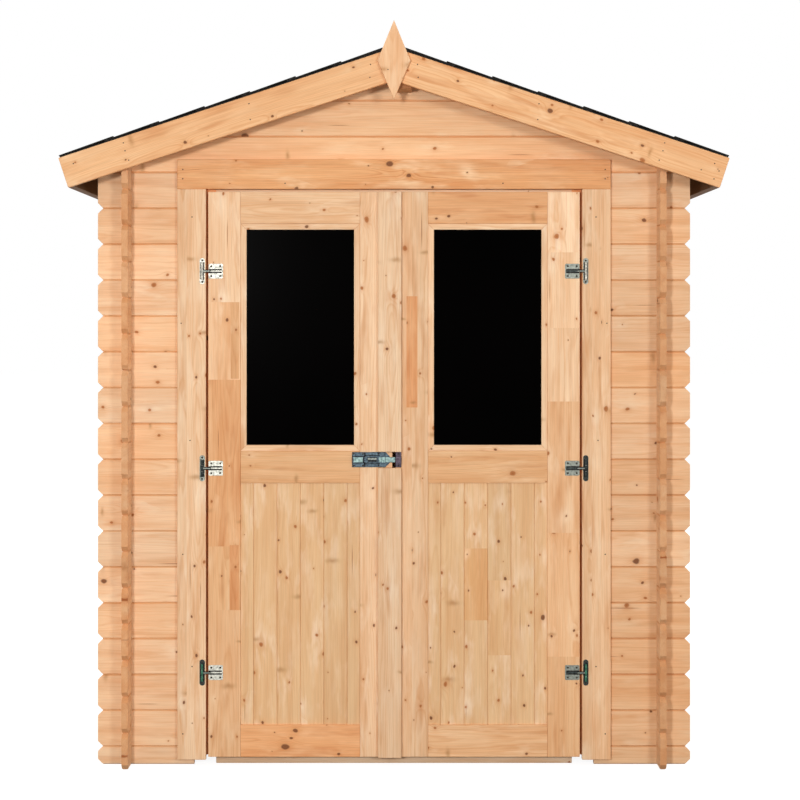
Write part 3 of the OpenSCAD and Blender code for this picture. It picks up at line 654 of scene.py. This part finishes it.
def door(s, side):
    """One leaf: stiles, rails, a panel of upright boards, and beads around its pane."""
    body = f"{side}_door"
    bm = new_piece()
    # Hinge stile: blocks finger jointed end to end, warmer towards the ground; their tones, paler higher up, are
    # partly their own and partly painted light that is brighter higher up
    joints, warm, tone = {
        -1: ((471, 664, 1169, 1404), [0.8, 1.0, 1.2, 0.4, 0.1], [0.93, 0.93, 0.94, 1.04, 1.06]),
        1: ((330, 705, 1103, 1326, 1555), [0.9, 0.7, 0.6, 0.1, 0.2, 0.0], [0.93, 0.97, 0.96, 1.04, 1.02, 1.06])}[s]
    lo, hi = mirrored(s, (door_hi.x - stile, door_face, door_lo.z), (door_hi.x, door_back, door_hi.z))
    board(bm, lo, hi, Z, Y, 1.5 * mm, f"hinge stile {side}", splits=heights(joints), warm=warm, tone=tone)
    # Strips of red heartwood run through some blocks of each leaf
    for x0, x1, z0, z1, heat in {-1: ((-498, -470, 471, 668, 1.6), (-495, -470, 1172, 1404, 1.1)),
                                 1: ((38, 71, 1085, 1422, 1.6),)}[s]:
        board(bm, (x0 * mm, door_face - 0.1 * mm, z0 * mm), (x1 * mm, door_face + 2 * mm, z1 * mm), Z, Y, 0,
              f"heart {side}", warm=heat, tone=0.92)
    lo, hi = mirrored(s, (door_lo.x, door_face, door_lo.z), (door_lo.x + stile, door_back, door_hi.z))
    middle = (lo[0] + hi[0]) / 2
    # The right meeting stile is painted darker: painted shade, on the side away from the light
    board(bm, lo, hi, Z, Y, 1.5 * mm, f"meeting stile {side}", splits=[((middle, 0, 0), (1, 0, 0))],
          warm=0.3 + 0.1 * s, tone=0.955 - 0.03 * s)
    finish(f"{side}_door_stile_boards", bm, door_spruce, body, [f"{side}_door_stiles"])

    bm = new_piece()
    warm, tone = {-1: ((1.35, 1.0, 0.5), (1.03, 0.88, 0.96)), 1: ((0.8, 1.0, 1.3), (0.91, 0.88, 0.96))}[s]
    for n, (low, high) in enumerate(rails):
        lo, hi = mirrored(s, (light_lo.x + 0.1 * mm, door_face, low), (light_hi.x - 0.1 * mm, door_back, high))
        board(bm, lo, hi, X, Y, 1.5 * mm, f"rail {side} {n}", warm=warm[n], tone=tone[n],
              pith=(0, 0, 0.03) if n == 0 and s < 0 else None)
    finish(f"{side}_door_rail_boards", bm, door_spruce, body, [f"{side}_door_rails"])

    bm = new_piece()
    middle = (light_lo.x + light_hi.x) / 2
    cuts = [panel_lo.x] + [middle + n * panel_board for n in range(-2, 3)] + [panel_hi.x]
    for n, (a, b) in enumerate(zip(cuts, cuts[1:])):
        lo, hi = mirrored(s, (a, panel_lo.y, panel_lo.z), (b, panel_hi.y, panel_hi.z))
        # Two boards of the right leaf have a browner length let in
        joints, warm, tone = {2: ((439, 657), 0.9, 0.93), 3: ((333, 560), 0.6, 0.9)}.get(s * n, ((), 0, 0))
        # The right leaf's plain boards are painted a little darker: painted shade, on the side away from the light
        plain = 0.945 - 0.01 * s
        board(bm, lo, hi, Z, Y, 2.6 * mm, f"panel {side} {n}", splits=heights(joints), warm=[0.3, warm, 0.3],
              tone=[plain, tone, plain])
    finish(f"{side}_door_panel_boards", bm, panel_spruce, body, [f"{side}_door_panel"])

    # Beads: four mitred lengths around the pane on each side
    bm = new_piece()
    lo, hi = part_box(f"{side}_door_pane")
    bead_lo, bead_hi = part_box(f"{side}_door_beads")
    for y0, tag in ((bead_lo.y, "out"), (bead_hi.y - bead_t, "in")):
        y1 = y0 + bead_t
        for x0, x1, out in ((lo.x, lo.x + bead, -1), (hi.x - bead, hi.x, 1)):
            inner = x1 if out < 0 else x0
            saw = [((inner, 0, lo.z + bead), (-out, 0, -1)), ((inner, 0, hi.z - bead), (-out, 0, 1))]
            board(bm, (x0, y0, lo.z), (x1, y1, hi.z), Z, Y, 1.2 * mm, f"bead {side} {tag} {out}", saw=saw, warm=0.2)
        for z0, z1, out in ((lo.z, lo.z + bead, -1), (hi.z - bead, hi.z, 1)):
            inner = z1 if out < 0 else z0
            saw = [((lo.x + bead, 0, inner), (-1, 0, -out)), ((hi.x - bead, 0, inner), (1, 0, -out))]
            board(bm, (lo.x, y0, z0), (hi.x, y1, z1), X, Y, 1.2 * mm, f"bead {side} {tag} level {out}", saw=saw,
                  warm=0.2)
    finish(f"{side}_door_bead_lengths", bm, door_spruce, body, [f"{side}_door_beads"])
    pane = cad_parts[f"{side}_door_pane"].data
    pane.materials.clear()
    pane.materials.append(pane_sheet)


for s, side in sides:
    door(s, side)
wood_from("cover_strip_lengths", "cover_strip", Z, Y, door_spruce, "left_door", "door_spruce", 2 * mm, warm=0.1,
          tone=[0.9, 0.965])


# Fittings: pressed steel, all of it facing the front. A fitting's first finish is its own, and the next two are
# its screws' and its recesses'; the recesses' finish is painted shade
head, recess = 1, 2
screw_r = 3.2 * mm


def rod(bm, centre, axis, radius, length, edge=0.3 * mm, top=None, segments=24, finish_index=0):
    """A round bar about an axis, with eased rims; a smaller top makes it a dome or a cone."""
    turn = Z.rotation_difference(axis).to_matrix().to_4x4()
    before = set(bm.faces)
    made = bmesh.ops.create_cone(bm, cap_ends=True, cap_tris=False, segments=segments, radius1=radius,
                                 radius2=radius if top is None else top, depth=length,
                                 matrix=Matrix.Translation(centre) @ turn)
    ease(bm, [e for e in {e for v in made["verts"] for e in v.link_edges}
              if len(e.link_faces) == 2 and any(len(f.verts) > 4 for f in e.link_faces)], edge)
    for f in set(bm.faces) - before:
        f.smooth = len(f.verts) <= 4
        f.material_index = finish_index


def plate(bm, lo, hi, corner=0.0, edge=0.3 * mm, finish_index=0):
    """A flat plate with its corners rounded as seen from the front."""
    lo, hi = Vector(lo), Vector(hi)
    before = set(bm.faces)
    corners = block(bm, lo, hi)
    if corner:
        ease(bm, [e for e in {e for v in corners for e in v.link_edges}
                  if abs((e.verts[0].co - e.verts[1].co).y) > 0.9 * (hi - lo).y], corner, 6)
    if edge:
        rims = {e for f in set(bm.faces) - before for e in f.edges if e.calc_face_angle(0) > math.radians(60)}
        ease(bm, list(rims), edge)
    for f in set(bm.faces) - before:
        f.material_index = finish_index


def screw(bm, x, y, z, radius=screw_r, turn=0.4):
    """A domed screw head with a cross recess painted dark as shade, its face towards the front at y."""
    thick = 1.2 * mm
    rod(bm, (x, y - thick / 2, z), -Y, radius, thick, 0.2 * mm, radius * 0.66, 16, head)
    for angle in (turn, turn + math.pi / 2):
        place = Matrix.Translation((x, y - thick - 0.01 * mm, z)) @ Matrix.Rotation(angle, 4, "Y")
        size = Matrix.Diagonal((radius * 0.95, 0.1 * mm, radius * 0.2, 1))
        made = bmesh.ops.create_cube(bm, size=1, matrix=place @ size)
        for f in {f for v in made["verts"] for f in v.link_faces}:
            f.material_index = recess


def fitting(name, bm, body, nodes, finishes):
    """Makes a metal piece with all of its finishes."""
    made = finish(name, bm, finishes[0], body, nodes)
    for material in finishes[1:]:
        made.data.materials.append(material)


pin_x, pin_y = 581 * mm, -842 * mm
knuckle_r, pin_r, sheet = 4 * mm, 2 * mm, 1.5 * mm


def hinge(s, side):
    """Three hinges of one leaf. The upper plates are bright; the others are darker grey and black, with black or
    green barrels."""
    fixed, moving = bmesh.new(), bmesh.new()
    bright, grey, black, green = 0, 3, 4, 5
    finishes = (zinc, screw_zinc_and_shade, recess_shade_steel, grey_zinc, black_zinc, green_zinc)
    strap, rib = (bright, bright) if s < 0 else (grey, black)
    levels = zip((282 * mm, 901 * mm, 1498 * mm), (black, grey, bright) if s < 0 else (black, black, grey),
                 (green, black, bright))
    for z, plate_finish, barrel in levels:
        # Fixed half: a plate with round ends, two knuckles on it and the pin through all three
        x = s * pin_x
        plate(fixed, (x - 8 * mm, trim_y - sheet, z - 39.5 * mm), (x + 8 * mm, trim_y, z + 39.5 * mm), 7.8 * mm,
              0.4 * mm, plate_finish)
        rod(fixed, (x, pin_y, z), Z, pin_r, 52 * mm, 0.2 * mm)
        for end in (-1, 1):
            middle = z + end * 17.75 * mm
            rod(fixed, (x, pin_y, middle), Z, knuckle_r, 16.5 * mm, 0.5 * mm, finish_index=barrel)
            plate(fixed, (x - 2.6 * mm, pin_y, middle - 8.1 * mm), (x + 2.6 * mm, trim_y - 1 * mm, middle + 8.1 * mm),
                  0, 0)
            screw(fixed, x, trim_y - sheet, z + end * 32.5 * mm, turn=0.3 + end)
        # The folds beside the knuckles are in their own shadow
        for fold in (-4.6, 4.6):
            plate(fixed, (x + (fold - 1.1) * mm, trim_y - 1.8 * mm, z - 27 * mm),
                  (x + (fold + 1.1) * mm, trim_y - 1.4 * mm, z + 27 * mm), 0, 0, recess)
        # Moving half: the middle knuckle, its neck, and a square leaf with a pressed rib
        rod(moving, (x, pin_y, z), Z, knuckle_r, 16.8 * mm, 0.5 * mm, finish_index=barrel)
        a, b = sorted((s * (pin_x - 26 * mm), s * pin_x))
        plate(moving, (a, pin_y - 2 * mm, z - 1.8 * mm), (b, pin_y + 1 * mm, z + 1.8 * mm), 0, 0.6 * mm, grey)
        # Painted shade behind the neck
        plate(moving, (a, pin_y - 1.4 * mm, z - 4.4 * mm), (b, pin_y + 0.8 * mm, z + 4.4 * mm), 0, 0, recess)
        a, b = sorted((s * (pin_x - 26 * mm), s * (pin_x - 18 * mm)))
        plate(moving, (a, pin_y - 1.9 * mm, z - 1.8 * mm), (b, trim_y - 1 * mm, z + 1.8 * mm), 0, 0.6 * mm, grey)
        a, b = sorted((s * (pin_x - 63 * mm), s * (pin_x - 19 * mm)))
        plate(moving, (a, trim_y - sheet, z - 22.5 * mm), (b, trim_y, z + 22.5 * mm), 4 * mm, 0.4 * mm, strap)
        # The rib stands between two deep grooves, painted dark as shade
        plate(moving, (a + 3 * mm, trim_y - 2.4 * mm, z - 2.2 * mm), (b - 0.6 * mm, trim_y - 1 * mm, z + 2.2 * mm), 0,
              0.8 * mm, rib)
        for middle in (-4.4, 4.4):
            plate(moving, (a + (3.4 if s > 0 else 0.4) * mm, trim_y - 1.8 * mm, z + (middle - 1.9) * mm),
                  (b - (3.4 if s < 0 else 0.4) * mm, trim_y - 1.4 * mm, z + (middle + 1.9) * mm), 0, 0, recess)
        for dx in (-13.5, 13.5):
            for dz in (-15, 15):
                screw(moving, (a + b) / 2 + dx * mm, trim_y - sheet, z + dz * mm, turn=0.2 + 0.3 * dx + dz)
    fitting(f"hinge_plates_{side}_pressed", fixed, "root", [f"hinge_plates_{side}"], finishes)
    fitting(f"{side}_door_straps_pressed", moving, f"{side}_door", [f"{side}_door_straps"], finishes)


for s, side in sides:
    hinge(s, side)

latch_z = 927 * mm


def latch():
    """A bolt plate with two guides, its bolt and its keeper; folds and edges are drawn as dark lines of painted
    shade.
    """
    face_y, guide_y, bolt_y = trim_y - 2 * mm, trim_y - 9 * mm, trim_y - 6.5 * mm
    other = 3

    def lines(bm, y, places, finish_index=recess):
        """Thin flat marks on a face, of painted shade unless another finish is named; places are left, right, low and
        high in millimetres from the bolt's line.
        """
        for x0, x1, z0, z1 in places:
            plate(bm, (x0 * mm, y - 0.15 * mm, latch_z + z0 * mm), (x1 * mm, y + 0.1 * mm, latch_z + z1 * mm), 0, 0,
                  finish_index)

    bm = true_outline(bmesh.new(), "latch_plate", 0.4 * mm)
    for dz in (-18, 18):
        for x, turn in ((-122, 0.2), (-94, 0.9), (-47, 0.5)):
            screw(bm, x * mm, face_y, latch_z + dz * mm, 3 * mm, turn)
    for dz in (-1, 1):
        lines(bm, face_y, [(-126.5, -27, dz * 22.4 - 0.5, dz * 22.4 + 0.5),
                           (-88, -42, dz * 12.5 - 1.1, dz * 12.5 + 1.1)])
        lines(bm, guide_y, [(-126, -91.5, dz * 9.4 - 0.9, dz * 9.4 + 0.9)])
    lines(bm, face_y, [(-126.8, -125.4, -22, 22), (-90.6, -86.4, -21, 21)])
    lines(bm, guide_y, [(-126.4, -125, -10, 10), (-93.5, -91.4, -10, 10)])
    lines(bm, guide_y, [(-122, -94.5, -7.6, 7.6), (-37, -27, -8, 8)], other)
    fitting("latch_plate_pressed", bm, "left_door", ["latch_plate"], (blue_zinc, screw_zinc_and_shade, recess_shade_steel, pale_zinc))

    # The bolt is painted dull where the plate shades it, a painted shade, and is paler zinc towards its tongue
    bm = true_outline(bmesh.new(), "latch_bolt", 0.6 * mm)
    plate_shade_edge = -45 * mm
    saw_at(bm, (plate_shade_edge, 0, 0), (1, 0, 0))
    for f in bm.faces:
        f.material_index = 0 if f.calc_center_median().x > plate_shade_edge else 1
    lines(bm, bolt_y, [(-82, -50, -7.8, -6.2), (-82, -50, 6.2, 7.8), (-52, -50, -7.8, 7.8), (-79, -53, -5.4, -0.4)])
    lines(bm, bolt_y, [(-79, -53, 0.2, 5.2)], other)
    fitting("latch_bolt_pressed", bm, "bolt", ["latch_bolt"], (pale_zinc, blue_zinc, recess_shade_steel, grey_zinc))

    bm = true_outline(bmesh.new(), "latch_keeper", 0.4 * mm)
    for dz in (-17.5, 17.5):
        screw(bm, 14 * mm, face_y, latch_z + dz * mm, 3 * mm, 0.7 + dz)
    fitting("latch_keeper_pressed", bm, "right_door", ["latch_keeper"], (plum_zinc, screw_zinc_and_shade, recess_shade_steel))


latch()


# Nails: sunk round heads in the trim, barge boards and finials
def nails(name, places, back=False):
    """Nail heads at places on the front, or at the same places turned round to the back."""
    turn = -1 if back else 1
    bm = bmesh.new()
    for x, y, z in places:
        rod(bm, (turn * x, turn * (y - 0.1 * mm), z), -turn * Y, 2.1 * mm, 0.8 * mm, 0.15 * mm, 1.7 * mm, 12)
    finish(name, bm, screw_zinc_and_shade, "root")


def on_barge(x, down):
    """A place on a barge board's face, in millimetres from the middle and down from its upper edge."""
    return (x * mm, -roof_front - 18 * mm, ridge_z - abs(x * mm) * fall - felt_drop - down * mm / math.cos(slope))


barge_nails = [on_barge(s * x, down) for s, _ in sides for x, down in (
    (70, 26), (72, 62), (432, 24), (428, 70), (806, 18), (801, 42), (790, 72), (955, 30))]
barge_nails += [on_barge(x, down) for x, down in ((915, 60), (968, 47), (953, 74))]
finial_nail = (-18 * mm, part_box("finial_front")[0].y + 0.4 * mm, ridge_z - 76 * mm)
trim_nails = [(s * x * mm, trim_y, z * mm) for s, _ in sides for x, z in (
    (640, 1778), (640, 1806), (330, 1764), (612, 1662), (645, 1340), (618, 985), (640, 640), (612, 300), (640, 96))]
nails("nails_front", barge_nails + trim_nails)
nails("nails_rear", barge_nails, True)
nails("finial_nail_front", [finial_nail])
nails("finial_nail_rear", [finial_nail], True)


# Studio: a white floor and backdrop, two small lamps in front and soft ones at the sides and the back
def white_behind(tree):
    """1 for the camera and for what metal and glass mirror or let through, where floor and world are white."""
    path = add(tree, "LightPath").outputs
    seen = add(tree, "Math", {0: path["Is Camera Ray"], 1: path["Is Glossy Ray"]}, operation="MAXIMUM")
    return add(tree, "Math", {0: seen, 1: path["Is Transmission Ray"]}, operation="MAXIMUM")


def studio():
    """The floor, the world and the lamps."""
    bm = bmesh.new()
    bmesh.ops.create_grid(bm, x_segments=1, y_segments=1, size=40)
    bmesh.ops.translate(bm, verts=bm.verts, vec=(0, 0, -0.4 * mm))
    mesh = bpy.data.meshes.new("studio_floor")
    bm.to_mesh(mesh)
    bm.free()
    floor = bpy.data.objects.new("studio_floor", mesh)
    scene.collection.objects.link(floor)
    material, tree = new_finish("White studio floor")
    glow = add(tree, "Math", {0: white_behind(tree), 1: 0.91}, operation="MULTIPLY")
    close_finish(tree, {"Base Color": linear("#8c8c8c"), "Roughness": 1.0, "Specular IOR Level": 0.0,
                        "Emission Color": (1, 1, 1, 1), "Emission Strength": glow})
    mesh.materials.append(material)

    world = bpy.data.worlds.new("White studio")
    scene.world = world
    world.use_nodes = True
    tree = world.node_tree
    tree.nodes.clear()
    seen = white_behind(tree)
    add(tree, "OutputWorld", {"Surface": add(tree, "Background", {
        "Color": add(tree, "Mix", {"Factor": seen, 6: linear("#ffeedd"), 7: (1, 1, 1, 1)}, data_type="RGBA"),
        "Strength": add(tree, "MapRange", {"Value": seen, "To Min": 0.5, "To Max": 1.0})})})

    for name, spot, aim, size, power, tint in (
            ("Key light", (-1.45, -7.2, 1.8), (0, -0.8, 1.3), 0.5, 172, "#ffffff"),
            ("Right front light", (2.7, -7.4, 2.1), (0, -0.8, 1.2), 1.0, 112, "#ffffff"),
            ("Left soft light", (-7.5, 0.6, 3.0), (-0.9, 0, 1.2), 3.0, 215, "#fff8f2"),
            ("Right soft light", (7.5, 0.6, 3.0), (0.9, 0, 1.2), 3.0, 215, "#fff8f2"),
            ("Back soft light", (-1.2, 8.0, 3.0), (0, 0.9, 1.2), 3.0, 245, "#fff8f2")):
        data = bpy.data.lights.new(name, "AREA")
        data.size = size
        data.energy = power
        data.color = linear(tint)[:3]
        lamp = bpy.data.objects.new(name, data)
        lamp.location = spot
        lamp.rotation_euler = (Vector(aim) - Vector(spot)).to_track_quat("-Z", "Y").to_euler()
        scene.collection.objects.link(lamp)


studio()

# The camera looks level at the front from 6.6 m; its shift keeps the uprights parallel
view = bpy.data.cameras.new("Camera")
view.sensor_width = 36
view.lens = 86.31
view.shift_x = 0.0075
view.shift_y = -0.10125
camera = bpy.data.objects.new("Camera", view)
camera.location = (0, -6.647, 1.353)
camera.rotation_euler = (math.pi / 2, 0, 0)
scene.collection.objects.link(camera)
scene.camera = camera

scene.view_settings.view_transform = "Standard"
